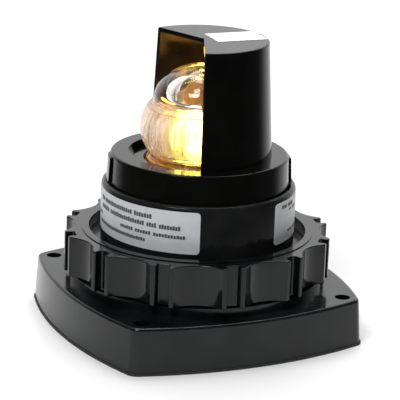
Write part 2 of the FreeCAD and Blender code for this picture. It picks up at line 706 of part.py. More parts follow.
def lamp_socket():
    """Brass tube with two J-shaped slots for the lamp's pins, and a foot."""
    body = tube(SOCKET_OUT_R, SOCKET_IN_R, *SOCKET_Z)
    foot = tube(SOCKET_FOOT_R, SOCKET_IN_R, SOCKET_Z[0], SOCKET_Z[0] + SOCKET_FOOT_T)
    body = body.fuse(foot)
    top = SOCKET_Z[1] + OVER
    low = PIN_Z - SLOT_DROP
    reach = SOCKET_OUT_R + OVER
    for side in (0, 180):
        rest = block(0, reach, -SLOT_HALF_W, SLOT_HALF_W, low, PIN_Z + PIN_R + PIN_GAP)
        across = sector(reach, 0, SLOT_TURN, low, low + 2 * SLOT_HALF_W)
        entry = turned(block(0, reach, -SLOT_HALF_W, SLOT_HALF_W, low, top), SLOT_TURN)
        for tool in (rest, across, entry):
            body = body.cut(turned(tool, side))
    return body


def reflector():
    """Bright dish on a sleeve that stands on the socket's foot."""
    hub_in, hub_out = REFLECTOR_HUB_R
    bottom = SOCKET_Z[0] + SOCKET_FOOT_T
    return revolved([(hub_in, bottom), (hub_out, bottom), (hub_out, REFLECTOR_HUB_TOP - REFLECTOR_T),
                     (REFLECTOR_RIM_R, REFLECTOR_RIM_TOP - REFLECTOR_T), (REFLECTOR_RIM_R, REFLECTOR_RIM_TOP),
                     (hub_in, REFLECTOR_HUB_TOP)])


def contact_plunger():
    head = cylinder(PLUNGER_HEAD_R, *PLUNGER_Z)
    stem = cylinder(PLUNGER_STEM_R, PLUNGER_FOOT_Z, PLUNGER_Z[0] + OVER)
    return head.fuse(stem)


def contact_spring():
    return coil(SPRING_R, SPRING_WIRE_R, SPRING_TURNS, *SPRING_Z)


# ---------------------------------------------------------------- plate, switch and battery

def screw_place(i):
    p = polar(SCREW_CIRCLE_R, 360.0 / SCREW_COUNT * (i + 0.5))
    return p.x, p.y


def rod_places():
    points = [polar(ROD_CIRCLE_R, 90.0 * i) for i in range(4)]
    return [(p.x, p.y) for p in points]


def cell_places():
    """Cell centres in the order that the current passes through them."""
    h = CELL_HALF_PITCH
    return [(h, h), (-h, h), (-h, -h), (h, -h)]


def lamp_plate():
    plate = cylinder(LAMP_PLATE_R, *LAMP_PLATE_Z)
    bottom = LAMP_PLATE_Z[0] - OVER
    top = LAMP_PLATE_Z[1] + OVER
    plate = plate.cut(cylinder(PLUNGER_STEM_R + PLUNGER_GAP, bottom, top))
    for i in range(SCREW_COUNT):
        x, y = screw_place(i)
        plate = plate.cut(cylinder(SCREW_SHANK_R + HOLE_GAP, bottom, top, x, y))
    for x, y in rod_places():
        plate = plate.cut(cylinder(ROD_R + ROD_HOLE_GAP, bottom, LAMP_PLATE_Z[1] - ROD_SEAT, x, y))
    for x in (LEAD_X, SWITCH_X[0] + SWITCH_LEAD_IN, SWITCH_X[1] - SWITCH_LEAD_IN):
        plate = plate.cut(cylinder(LEAD_R + HOLE_GAP, bottom, top, x, 0))
    return plate


def plate_screws():
    screws = []
    bottom = LAMP_PLATE_Z[0]
    for i in range(SCREW_COUNT):
        x, y = screw_place(i)
        shank = cylinder(SCREW_SHANK_R, bottom - OVER, SHOULDER_Z + SCREW_BITE - HOLE_GAP, x, y)
        head = cylinder(SCREW_HEAD_R, bottom - SCREW_HEAD_H, bottom, x, y)
        slot = block(x - SCREW_HEAD_R, x + SCREW_HEAD_R, y - SCREW_SLOT_HALF_W, y + SCREW_SLOT_HALF_W,
                     bottom - SCREW_HEAD_H - OVER, bottom - SCREW_HEAD_H + SCREW_SLOT_D)
        screws.append(shank.fuse(head).cut(slot))
    return Part.makeCompound(screws)


def switch_body():
    body = block(SWITCH_X[0], SWITCH_X[1], -SWITCH_HALF_Y, SWITCH_HALF_Y, LAMP_PLATE_Z[1], SWITCH_TOP)
    body = body.makeFillet(SWITCH_EDGE_R, uprights(body))
    middle = sum(SWITCH_X) / 2
    return body.cut(block(middle - SWITCH_SLOT_HALF_X, middle + SWITCH_SLOT_HALF_X, -SWITCH_SLOT_HALF_Y,
                          SWITCH_SLOT_HALF_Y, SWITCH_TOP - SWITCH_SLOT_D, SWITCH_TOP + OVER))


def switch_slider():
    """The slider stands at the inner end of its slot, which is on."""
    inner = sum(SWITCH_X) / 2 + SWITCH_SLOT_HALF_X - SLIDER_GAP
    outer = inner - 2 * (SWITCH_SLOT_HALF_X - SLIDER_GAP) + SLIDER_TRAVEL
    half = SWITCH_SLOT_HALF_Y - SLIDER_GAP
    nub = block(outer, inner, -half, half, SWITCH_TOP - SLIDER_DEPTH, SLIDER_TOP)
    top = [e for e in nub.Edges if min(v.Z for v in e.Vertexes) > SLIDER_TOP - 0.01]
    return nub.makeFillet(SLIDER_EDGE_R, top)


def battery_tray():
    tray = cylinder(TRAY_R, *TRAY_Z)
    for x, y in cell_places():
        tray = tray.cut(cylinder(CELL_POCKET_R, TRAY_Z[0] + TRAY_FLOOR_T, TRAY_Z[1] + OVER, x, y))
    for x, y in rod_places():
        tray = tray.cut(cylinder(ROD_R + ROD_HOLE_GAP, TRAY_Z[0] + ROD_SEAT, TRAY_Z[1] + OVER, x, y))
    channel = block(-CONTACT_W / 2, CONTACT_W / 2, -CHANNEL_HALF, CHANNEL_HALF, TRAY_Z[0] + TRAY_FLOOR_T,
                    TRAY_Z[1] + OVER)
    for side in (-1, 1):
        link = channel.copy()
        link.rotate(ORIGIN, UP, 90)
        link.translate(V(0, side * CELL_HALF_PITCH, 0))
        tray = tray.cut(link)
    return tray


def battery_board():
    """Board over the cells, with a clear hole for the plunger's stem."""
    bottom = CELL_Z[1] + CONTACT_T
    top = bottom + TOP_BOARD_T
    board = cylinder(TRAY_R, bottom, top)
    for x, y in rod_places():
        board = board.cut(cylinder(ROD_R + ROD_HOLE_GAP, bottom - OVER, top + OVER, x, y))
    board = board.cut(cylinder(PLUNGER_HEAD_R, bottom - OVER, top + OVER))
    for x in (LEAD_X, SWITCH_X[0] + SWITCH_LEAD_IN):
        board = board.cut(cylinder(LEAD_R + HOLE_GAP, bottom - OVER, top + OVER, x, 0))
    return board


def holder_rods():
    return Part.makeCompound([cylinder(ROD_R, TRAY_Z[0] + ROD_SEAT, LAMP_PLATE_Z[1] - ROD_SEAT, x, y)
                              for x, y in rod_places()])


def holder_nuts():
    bottom = CELL_Z[1] + CONTACT_T + TOP_BOARD_T
    corner = NUT_FLATS / math.sqrt(3)
    nuts = []
    for x, y in rod_places():
        outline = Part.makePolygon([V(x, y, bottom) + polar(corner, 60 * k) for k in range(7)])
        nut = Part.Face(outline).extrude(V(0, 0, NUT_H))
        nuts.append(nut.cut(cylinder(ROD_R + ROD_HOLE_GAP, bottom - OVER, bottom + NUT_H + OVER, x, y)))
    return Part.makeCompound(nuts)


def battery_cell(index):
    """Every other cell stands on its raised end."""
    x, y = cell_places()[index]
    low, high = CELL_Z
    if index % 2 == 0:
        can = cylinder(CELL_R, low, high - CELL_NUB_H, x, y)
        nub = cylinder(CELL_NUB_R, high - CELL_NUB_H - OVER, high, x, y)
    else:
        can = cylinder(CELL_R, low + CELL_NUB_H, high, x, y)
        nub = cylinder(CELL_NUB_R, low, low + CELL_NUB_H + OVER, x, y)
    ends = [e for e in can.Edges if isinstance(e.Curve, Part.Circle)]
    return can.makeFillet(CELL_EDGE_R, ends).fuse(nub)


def bottom_contacts():
    """Two straps that join the cells in pairs, each with a raised pad under a raised end."""
    bottom = TRAY_Z[0] + TRAY_FLOOR_T
    h = CELL_HALF_PITCH
    straps = []
    for side in (-1, 1):
        half = CONTACT_W / 2 - STRAP_GAP
        strap = block(-h - STRAP_REACH, h + STRAP_REACH, side * h - half, side * h + half, bottom,
                      bottom + CONTACT_T)
        pad = cylinder(PAD_R, bottom, CELL_Z[0], -side * h, side * h)
        straps.append(strap.fuse(pad))
    return Part.makeCompound(straps)


def cell_springs():
    bottom = TRAY_Z[0] + TRAY_FLOOR_T + CONTACT_T
    springs = []
    for x, y in cell_places()[::2]:
        springs.append(coil(CELL_SPRING_R, CELL_SPRING_WIRE_R, CELL_SPRING_TURNS, bottom, CELL_Z[0], x, y))
    return Part.makeCompound(springs)


def top_contacts():
    """A strap between the middle cells and one terminal each for the first and the last."""
    bottom = CELL_Z[1]
    top = bottom + CONTACT_T
    h = CELL_HALF_PITCH
    near, far = h - PAD_HALF, h + PAD_HALF
    half = TERMINAL_HALF
    wire_x = SWITCH_X[0] + SWITCH_LEAD_IN
    link = block(-far, -near, -far, h, bottom, top)
    plus = block(near, far, h - 3 * PAD_HALF, far, bottom, top)
    minus = block(near, far, -far, half, bottom, top)
    reach = block(LEAD_X - half, near + TAIL_RISE, -half, half, bottom, top)
    tail = block(wire_x - half, near + TAIL_RISE, h + TAIL_RISE, far, bottom, top)
    foot = block(wire_x - half, wire_x + half, -half, far, bottom, top)
    return Part.makeCompound([link, plus.fuse(tail).fuse(foot), minus.fuse(reach)])


def lead_negative():
    return round_wire([V(LEAD_X, 0, CELL_Z[1] + CONTACT_T), V(LEAD_X, 0, SOCKET_Z[0])], LEAD_R)


def lead_positive():
    x = SWITCH_X[0] + SWITCH_LEAD_IN
    return round_wire([V(x, 0, CELL_Z[1] + CONTACT_T), V(x, 0, LAMP_PLATE_Z[1])], LEAD_R)


def lead_to_plunger():
    """From the switch, under the plate, to a tail beside the plunger's stem."""
    x = SWITCH_X[1] - SWITCH_LEAD_IN
    level = LAMP_PLATE_Z[0] - LEAD_R - HOLE_GAP / 2
    tail = -PLUNGER_STEM_R - LEAD_R
    return round_wire([V(x, 0, LAMP_PLATE_Z[1]), V(x, 0, level), V(tail, 0, level)], LEAD_R)


# ---------------------------------------------------------------- labels

def wrapped_label(span):
    label = ring_sector(BODY_R + LABEL_T, BODY_R, span[0], span[1], *LABEL_Z)
    corners = [e for e in label.Edges if e.Length < 2 * LABEL_T]
    return label.makeFillet(LABEL_CORNER_R, corners)


def label_top():
    w, d = LABEL_TOP_SIZE
    label = block(-w / 2, w / 2, -d / 2, d / 2, SHADE_TOP, SHADE_TOP + LABEL_T)
    label.rotate(ORIGIN, UP, LABEL_TOP_TURN)
    label.translate(V(LABEL_TOP_AT[0], LABEL_TOP_AT[1], 0))
    return label.common(cylinder(SHADE_R_TOP - LABEL_TOP_MARGIN, SHADE_TOP - OVER, SHADE_TOP + OVER))


write("base_gasket", base_gasket())
write("mounting_base", mounting_base())
write("clamp_ring", clamp_ring())
write("slip_washer", slip_washer())
write("lamp_body", lamp_body())
write("body_seal", body_seal())
write("hood_seal", hood_seal())
write("hood", hood())
write("lens", lens())
write("lens_gasket", lens_gasket())
write("lamp_glass", lamp_glass())
write("lamp_filament", lamp_filament())
write("lamp_cap", lamp_cap())
write("lamp_socket", lamp_socket())
write("reflector", reflector())
write("contact_plunger", contact_plunger())
write("contact_spring", contact_spring())
write("lamp_plate", lamp_plate())
write("plate_screws", plate_screws())
write("switch_body", switch_body())
write("switch_slider", switch_slider())
write("battery_tray", battery_tray())
write("battery_board", battery_board())
write("holder_rods", holder_rods())
write("holder_nuts", holder_nuts())
for index in range(4):
    write("battery_cell_%d" % (index + 1), battery_cell(index))
write("bottom_contacts", bottom_contacts())
write("cell_springs", cell_springs())
write("top_contacts", top_contacts())
write("lead_negative", lead_negative())
write("lead_positive", lead_positive())
write("lead_to_plunger", lead_to_plunger())
write("label_main", wrapped_label(LABEL_MAIN))
write("label_side", wrapped_label(LABEL_SIDE))
write("label_top", label_top())
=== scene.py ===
import json
import math

import bmesh
import bpy
from mathutils import Matrix, Vector


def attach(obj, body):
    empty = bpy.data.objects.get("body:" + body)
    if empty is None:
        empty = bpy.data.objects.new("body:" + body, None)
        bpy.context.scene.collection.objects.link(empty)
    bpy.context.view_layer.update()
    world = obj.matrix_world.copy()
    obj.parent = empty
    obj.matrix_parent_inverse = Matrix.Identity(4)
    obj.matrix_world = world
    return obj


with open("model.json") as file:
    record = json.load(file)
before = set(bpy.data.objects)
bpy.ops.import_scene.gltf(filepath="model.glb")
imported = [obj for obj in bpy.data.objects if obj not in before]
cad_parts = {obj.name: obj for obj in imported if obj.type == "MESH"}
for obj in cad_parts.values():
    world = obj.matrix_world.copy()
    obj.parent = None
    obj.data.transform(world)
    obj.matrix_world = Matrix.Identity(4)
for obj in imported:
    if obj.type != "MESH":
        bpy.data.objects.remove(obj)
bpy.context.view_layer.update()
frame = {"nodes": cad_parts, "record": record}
NODES = frame["nodes"]

MM = 0.001

# ---- camera ----
VIEW_AZIMUTH = math.radians(63.64)      # 0 looks along +Y
VIEW_ELEVATION = math.radians(16.85)
VIEW_ROLL = math.radians(2.10)
VIEW_DISTANCE = 1.354
VIEW_SIDE = 0.0012                      # how far right of the axis the camera looks
VIEW_HEIGHT = 0.0763
LENS_MM = 201.9
SENSOR_MM = 36.0

# ---- surroundings, in metres and watts ----
FLOOR_R = 0.27
FLOOR_POINTS = 128
BACKDROP_BRIGHT = (-0.78, 1.15)         # how far a direction points to the camera, and the strength there
BACKDROP_DIM = (-0.30, 0.15)
SOFTBOX_AIM = (0, 0, 0.08)
SOFTBOXES = (                           # name, place, width, power
    ("overhead", (-0.4, 0.3, 1.5), 1.2, 16),
    ("key", (0.55, -0.75, 1.3), 0.6, 14),
)
GLOW_COLOUR = (1.0, 0.45, 0.08)
GLOWS = (                               # name, place, radius, power
    ("glow_back", (-0.014, 0.028, 0.150), 0.006, 0.006),
    ("glow_crown", (-0.019, 0.009, 0.163), 0.0035, 0.004),
)

# ---- moulded plastic: noise in cells to the metre, depths in metres ----
CLOUD_SCALE = 45
SMEAR_SCALE = 120
WAVE_SCALE = 70
GRAIN_SCALE = 2600
WAVE_DEPTH = 0.0004
FINE_DEPTH = 0.0002
CLOUD_SPAN = (0.35, 0.70)               # the part of a noise's range that a change is spread over
SMEAR_SPAN = (0.30, 0.75)
PLAIN_SPAN = (0.30, 0.70)

# ---- the shade's inner wall, which gets painted lamplight: where it starts and ends, in metres. Each pair is a short fade. ----
SHADE_INSIDE_TAPER = 0.059
SHADE_INSIDE_REACH = (0.0478, 0.0482)         # distance from the axis plus the taper's share of the height
SHADE_INSIDE_FOOT = (0.1069, 0.1073)
SHADE_INSIDE_TOP = (0.1736, 0.1740)
SHADE_INSIDE_ROUGH = (0.16, 0.30)
# Painted light: a lighter warm brown on the shade's inner wall for the lamp's amber light falling on it.
LAMPLIT_INSIDE_COLOURS = ((0.010, 0.008, 0.006), (0.018, 0.014, 0.009))

# ---- the lens: heights and radii in metres, each pair a fade; scales in cells of noise to the metre ----
FLUTE_ROUGH = 0.42                      # the fluted inner wall of its barrel
FLUTE_SCALE = 130
FLUTE_RUN = 16
FLUTE_DEPTH = 0.0034
FLUTE_RADIUS = (0.0322, 0.0326)
FLUTE_FOOT = (0.106, 0.109)
FLUTE_TOP = (0.1372, 0.1385)
SHOULDER_FOOT = (0.1300, 0.1335)        # the painted amber cast of the lamp's light, in a band over the barrel
SHOULDER_TOP = (0.1375, 0.1385)
NECK_TOP = (0.1060, 0.1095)             # the painted amber cast of the lamp's light in the neck
# Painted light: the clear glass's colour turns this amber where the lamp's light shows through it.
AMBER_LAMPLIGHT_CAST = (0.91, 0.70, 0.48)
AMBER_SCALE = (90, 90, 200)
AMBER_UNEVEN = (0.40, 0.60, 0.35, 1.0)  # noise from and to, share of the painted amber cast from and to
CROWN = (0.1530, 0.1585)                # painted glow: the yellow arcs at its top, the lamp's light reflected in the dome
CROWN_LIGHT = (1.0, 0.55, 0.02)
CROWN_SCALE = (110, 110, 60)
CROWN_GAIN = (0.42, 0.56, 0.0, 2.6)     # noise from and to, gain from and to
# Painted glow: emission colours and strengths given to the clear lens for the lamp's light seen in it.
NECK_LIGHT = (0.9, 0.34, 0.02)
BARREL_LIGHT = (1.0, 0.66, 0.52)
LIGHT_CHANGE = (0.105, 0.113)
NECK_GAIN = (0.105, 0.112, 0.62, 0.75)  # height from and to, gain from and to
DOME_GAIN = (0.136, 0.141, 1.0, 0.09)
GLOW_SCALE = (110, 110, 90)             # painted glow: the lamp's light caught in the lens, in patches
GLOW_PATCHES = (0.38, 0.62, 0.02, 0.22)

# ---- the lit lamp ----
LAMP_CHANGE = (0.131, 0.136)
LAMP_DEEP = (1.0, 0.62, 0.02)
LAMP_PALE = (1.0, 0.86, 0.16)
LAMP_TOP = (1.0, 0.42, 0.03)
LAMP_FADE = (0.130, 0.1375, 1.0, 0.026)  # height from and to, share of the light from and to
STREAK_SCALE = (150, 150, 50)
STREAK_SPAN = (0.35, 0.65)
LAMP_STRENGTH = (0.3, 0.7, 3.5, 20.0)    # noise from and to, strength from and to

# The blank blocks that stand for print on the wrapped labels: for each line its middle height, its blocks'
# height, and where each run of blocks starts and ends round the body, in millimetres and degrees.
MAIN_PRINT = (
    (81.2, 2.8, ((258, 264), (265, 293), (294.5, 307))),
    (76.3, 2.8, ((259, 271), (272.5, 302), (303.5, 310), (311.5, 324.5))),
    (71.0, 2.2, ((245, 259), (283.5, 294), (295.5, 306.5), (308, 327.5))),
    (66.4, 2.2, ((256, 303),)),
)

SIDE_PRINT = (
    (80.3, 2.6, ((31.5, 37.5), (39, 47))),
    (77.0, 1.3, ((41, 45), (46.5, 54))),
    (64.0, 1.7, ((40, 48), (50, 66))),
    (67.0, 1.3, ((75, 91),)),
)

# The top label's marks, each (x from, x to, y from, y to) in metres, and the width of their soft edges.
TOP_PRINT = (
    (0.001, 0.005, 0.020, 0.0225),
    (-0.003, 0.009, 0.0272, 0.0295),
    (-0.003, 0.003, 0.0352, 0.0366),
    (0.004, 0.008, 0.0342, 0.0356),
)
TOP_EDGE = 0.0002
DASH_SCALE = (900, 60, 1)
DASH_SPAN = (0.46, 0.54)

LABEL_R = 58.7                          # the labels' outer face
BAR_PITCH = 1.75
BAR_FILL = 0.84
BAR_HEIGHTS = (1.0, 0.86, 0.92, 0.80, 0.95, 0.86)
BAR_PROUD = 0.04
BAR_SUNK = 0.06
PRINT_LEVEL = 280.0                     # the angle at which a line is at its stated height
PRINT_SLOPE = 0.011                     # its drop for each degree past that
BOX_FACES = ((3, 2, 1, 0), (4, 5, 6, 7), (0, 1, 5, 4), (1, 2, 6, 5), (2, 3, 7, 6), (3, 0, 4, 7))


def add_camera():
    """The photograph's view: a long lens, a little above the lantern, tilted slightly."""
    a, e, roll = VIEW_AZIMUTH, VIEW_ELEVATION, VIEW_ROLL
    level = Vector((math.cos(a), math.sin(a), 0))
    forward = Vector((-math.sin(a) * math.cos(e), math.cos(a) * math.cos(e), -math.sin(e)))
    above = level.cross(forward)
    right = level * math.cos(roll) + above * math.sin(roll)
    up = above * math.cos(roll) - level * math.sin(roll)
    target = level * VIEW_SIDE + Vector((0, 0, VIEW_HEIGHT))
    place = target - forward * VIEW_DISTANCE
    camera = bpy.data.objects.new("camera", bpy.data.cameras.new("camera"))
    camera.data.lens = LENS_MM
    camera.data.sensor_width = SENSOR_MM
    camera.data.clip_start = 0.01
    camera.matrix_world = Matrix((
        (right.x, up.x, -forward.x, place.x),
        (right.y, up.y, -forward.y, place.y),
        (right.z, up.z, -forward.z, place.z),
        (0, 0, 0, 1)))
    bpy.context.scene.collection.objects.link(camera)
    bpy.context.scene.camera = camera


# ---------------------------------------------------------------- materials

class Shader:
    """A node material with one Principled shader, and short ways to add nodes to it."""

    def __init__(self, name):
        self.material = bpy.data.materials.new(name)
        self.material.use_nodes = True
        self.tree = self.material.node_tree
        self.main = self.tree.nodes["Principled BSDF"]
        self.place = self.node("ShaderNodeTexCoord").outputs["Object"]

    def node(self, kind, **settings):
        made = self.tree.nodes.new(kind)
        for key, value in settings.items():
            if hasattr(made, key):
                setattr(made, key, value)
            else:
                made.inputs[key.replace("_", " ")].default_value = value
        return made

    def link(self, a, b):
        self.tree.links.new(a, b)

    def set(self, **values):
        for key, value in values.items():
            self.main.inputs[key.replace("_", " ")].default_value = value

    def noise(self, scale, detail=3.0, roughness=0.55, place=None):
        made = self.node("ShaderNodeTexNoise", Scale=scale, Detail=detail, Roughness=roughness)
        self.link(place or self.place, made.inputs["Vector"])
        return made.outputs["Fac"]

    def stretched(self, x, y, z):
        made = self.node("ShaderNodeMapping")
        made.inputs["Scale"].default_value = (x, y, z)
        self.link(self.place, made.inputs["Vector"])
        return made.outputs["Vector"]

    def ramp(self, value, low, high, out_low, out_high):
        made = self.node("ShaderNodeMapRange")
        made.inputs["From Min"].default_value = low
        made.inputs["From Max"].default_value = high
        made.inputs["To Min"].default_value = out_low
        made.inputs["To Max"].default_value = out_high
        self.link(value, made.inputs["Value"])
        return made.outputs["Result"]

    def rise(self, value, span):
        return self.ramp(value, *span, 0, 1)

    def fall(self, value, span):
        return self.ramp(value, *span, 1, 0)

    def between(self, value, low, high, edge):
        return self.times(self.rise(value, (low, low + edge)), self.fall(value, (high, high + edge)))

    def mix(self, value, a, b, kind="RGBA"):
        """A mix of two colours or numbers. Each is a constant colour or another node's output."""
        made = self.node("ShaderNodeMix", data_type=kind)
        self.link(value, made.inputs["Factor"])
        for source, key in ((a, "A"), (b, "B")):
            if isinstance(source, tuple):
                made.inputs[key].default_value = (*source, 1)
            else:
                self.link(source, made.inputs[key])
        return made.outputs["Result"]

    def join(self, operation, a, b):
        made = self.node("ShaderNodeMath", operation=operation)
        self.link(a, made.inputs[0])
        self.link(b, made.inputs[1])
        return made.outputs[0]

    def times(self, a, b):
        return self.join("MULTIPLY", a, b)

    def scaled_sum(self, a, scale, b):
        """a * scale + b"""
        made = self.node("ShaderNodeMath", operation="MULTIPLY_ADD")
        self.link(a, made.inputs[0])
        made.inputs[1].default_value = scale
        self.link(b, made.inputs[2])
        return made.outputs[0]

    def split(self):
        made = self.node("ShaderNodeSeparateXYZ")
        self.link(self.place, made.inputs[0])
        return made.outputs

    def axis_distance(self):
        flat = self.node("ShaderNodeVectorMath", operation="MULTIPLY")
        self.link(self.place, flat.inputs[0])
        flat.inputs[1].default_value = (1, 1, 0)
        length = self.node("ShaderNodeVectorMath", operation="LENGTH")
        self.link(flat.outputs[0], length.inputs[0])
        return length.outputs["Value"]

    def bump(self, value, strength, distance):
        made = self.node("ShaderNodeBump", Strength=strength, Distance=distance)
        self.link(value, made.inputs["Height"])
        self.link(made.outputs["Normal"], self.main.inputs["Normal"])


def moulded_black(name, dark, light, rough, ior, sheen, wave, grain, lamplit_inside=False):
    """Black moulded plastic: a little cloudy in gloss, with a moulding's faint waves and a fine grain."""
    s = Shader(name)
    cloud = s.rise(s.noise(CLOUD_SCALE, 4), CLOUD_SPAN)
    colour = s.mix(cloud, dark, light)
    smear = s.noise(SMEAR_SCALE, 5, 0.6)
    gloss = s.ramp(smear, *SMEAR_SPAN, *rough)
    s.set(IOR=ior, Specular_Tint=(sheen, sheen, sheen, 1))
    # Painted light: on the shade's inner wall the colour turns a lighter warm brown for the lamp's light
    # on it; its roughness and reflection change too.
    if lamplit_inside:
        height = s.split()["Z"]
        cone = s.scaled_sum(height, SHADE_INSIDE_TAPER, s.axis_distance())
        inside = s.times(s.fall(cone, SHADE_INSIDE_REACH), s.rise(height, SHADE_INSIDE_FOOT))
        inside = s.times(inside, s.fall(height, SHADE_INSIDE_TOP))
        colour = s.mix(inside, colour, s.mix(cloud, *LAMPLIT_INSIDE_COLOURS))
        gloss = s.mix(inside, gloss, s.ramp(smear, *SMEAR_SPAN, *SHADE_INSIDE_ROUGH), "FLOAT")
        s.link(s.ramp(inside, 0, 1, sheen, 1.0), s.main.inputs["Specular Tint"])
    s.link(colour, s.main.inputs["Base Color"])
    s.link(gloss, s.main.inputs["Roughness"])
    wavy = s.noise(WAVE_SCALE, 2)
    fine = s.noise(GRAIN_SCALE, 2)
    s.bump(s.scaled_sum(fine, grain, wavy), wave, WAVE_DEPTH)
    return s.material


def plain(name, colour_a, colour_b, scale, rough_low, rough_high, metallic=0.0, bump=0.1):
    """A material whose colour and gloss wander a little with noise."""
    s = Shader(name)
    value = s.noise(scale, 4)
    s.link(s.mix(s.rise(value, PLAIN_SPAN), colour_a, colour_b), s.main.inputs["Base Color"])
    s.link(s.ramp(value, *PLAIN_SPAN, rough_low, rough_high), s.main.inputs["Roughness"])
    s.set(Metallic=metallic)
    s.bump(s.noise(scale * 12, 2), bump, FINE_DEPTH)
    return s.material


def printed(name, colour_a, colour_b, ink, marks):
    """Label stock with marks of broken grey dashes on it."""
    s = Shader(name)
    value = s.noise(140, 4)
    paper = s.mix(s.rise(value, PLAIN_SPAN), colour_a, colour_b)
    axes = s.split()
    dashes = s.rise(s.noise(1, 1, 0.5, s.stretched(*DASH_SCALE)), DASH_SPAN)
    for x_low, x_high, y_low, y_high in marks:
        across = s.between(axes["X"], x_low, x_high, TOP_EDGE)
        along = s.between(axes["Y"], y_low, y_high, TOP_EDGE)
        paper = s.mix(s.times(s.times(across, along), dashes), paper, ink)
    s.link(paper, s.main.inputs["Base Color"])
    s.link(s.ramp(value, *PLAIN_SPAN, 0.3, 0.4), s.main.inputs["Roughness"])
    s.bump(s.noise(1700, 2), 0.1, FINE_DEPTH)
    return s.material


def clear(name, colour, ior, roughness):
    """Clear moulding, fluted in its barrel, with the lamp's light painted into it: a painted glow and a
    painted amber cast by its ends.
    """
    s = Shader(name)
    s.set(Base_Color=(*colour, 1), IOR=ior, Transmission_Weight=1.0)
    height = s.split()["Z"]

    band = s.times(s.rise(height, FLUTE_FOOT), s.fall(height, FLUTE_TOP))
    fluted = s.times(band, s.fall(s.axis_distance(), FLUTE_RADIUS))
    s.link(s.ramp(fluted, 0, 1, roughness, FLUTE_ROUGH), s.main.inputs["Roughness"])
    flutes = s.noise(1, 2, 0.5, s.stretched(FLUTE_SCALE, FLUTE_SCALE, FLUTE_RUN))
    s.bump(s.times(flutes, fluted), 1.0, FLUTE_DEPTH)

    # Painted light: an amber cast in the clear glass's colour, over the barrel's shoulder and in the neck,
    # for the lamp's light seen through them.
    shoulder = s.times(s.rise(height, SHOULDER_FOOT), s.fall(height, SHOULDER_TOP))
    amber = s.join("MAXIMUM", shoulder, s.fall(height, NECK_TOP))
    uneven = s.ramp(s.noise(1, 2, 0.5, s.stretched(*AMBER_SCALE)), *AMBER_UNEVEN)
    s.link(s.mix(s.times(amber, uneven), colour, AMBER_LAMPLIGHT_CAST), s.main.inputs["Base Color"])

    # Painted glow: emission in the clear lens for the lamp's light refracted and reflected in it, with
    # painted yellow arcs at the crown.
    crown = s.rise(height, CROWN)
    light = s.mix(s.rise(height, LIGHT_CHANGE), NECK_LIGHT, BARREL_LIGHT)
    s.link(s.mix(crown, light, CROWN_LIGHT), s.main.inputs["Emission Color"])
    fade = s.times(s.ramp(height, *NECK_GAIN), s.ramp(height, *DOME_GAIN))
    arcs = s.ramp(s.noise(1, 2, 0.5, s.stretched(*CROWN_SCALE)), *CROWN_GAIN)
    gain = s.join("ADD", fade, s.times(crown, arcs))
    patches = s.ramp(s.noise(1, 3, 0.6, s.stretched(*GLOW_SCALE)), *GLOW_PATCHES)
    s.link(s.times(gain, patches), s.main.inputs["Emission Strength"])
    return s.material


def glowing_glass(name):
    """The lit lamp: blown out to pale yellow round its filament, and a dim deep amber towards its top."""
    s = Shader(name)
    height = s.split()["Z"]
    streak = s.noise(1, 3, 0.6, s.stretched(*STREAK_SCALE))
    light = s.mix(s.rise(streak, STREAK_SPAN), LAMP_DEEP, LAMP_PALE)
    s.link(s.mix(s.rise(height, LAMP_CHANGE), light, LAMP_TOP), s.main.inputs["Emission Color"])
    strength = s.times(s.ramp(height, *LAMP_FADE), s.ramp(streak, *LAMP_STRENGTH))
    s.link(strength, s.main.inputs["Emission Strength"])
    s.set(Base_Color=(0.12, 0.045, 0.008, 1), Roughness=0.35)
    return s.material


